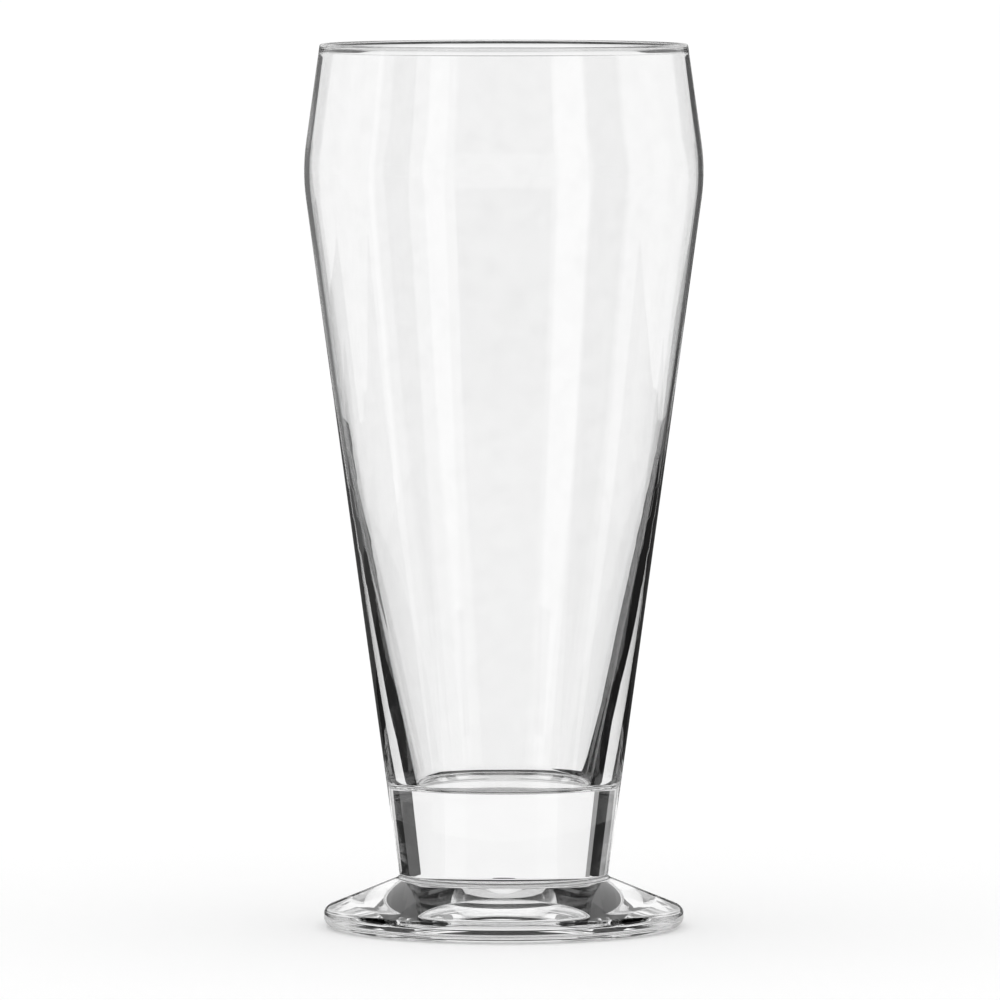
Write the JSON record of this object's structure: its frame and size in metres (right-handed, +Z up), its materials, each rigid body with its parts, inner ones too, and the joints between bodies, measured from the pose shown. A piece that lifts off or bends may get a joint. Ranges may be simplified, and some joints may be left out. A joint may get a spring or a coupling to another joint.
{
  "type": "ale glass",
  "caption": "Clear footed ale glass: a tall tapered bowl that turns in at a soft shoulder, on a short solid stem and a round spreading foot.",
  "frame": {"origin": "on the table, under the middle of the foot", "axes": "+Z up along the glass's axis, from the foot to the rim; the glass is the same all round, so +X and +Y are free"},
  "size_m": [0.0768, 0.0768, 0.17],
  "materials": {
    "clear_glass": "polished"
  },
  "bodies": {
    "root": {"bowl": "clear_glass", "stem": "clear_glass", "foot": "clear_glass"}
  },
  "joints": []
}
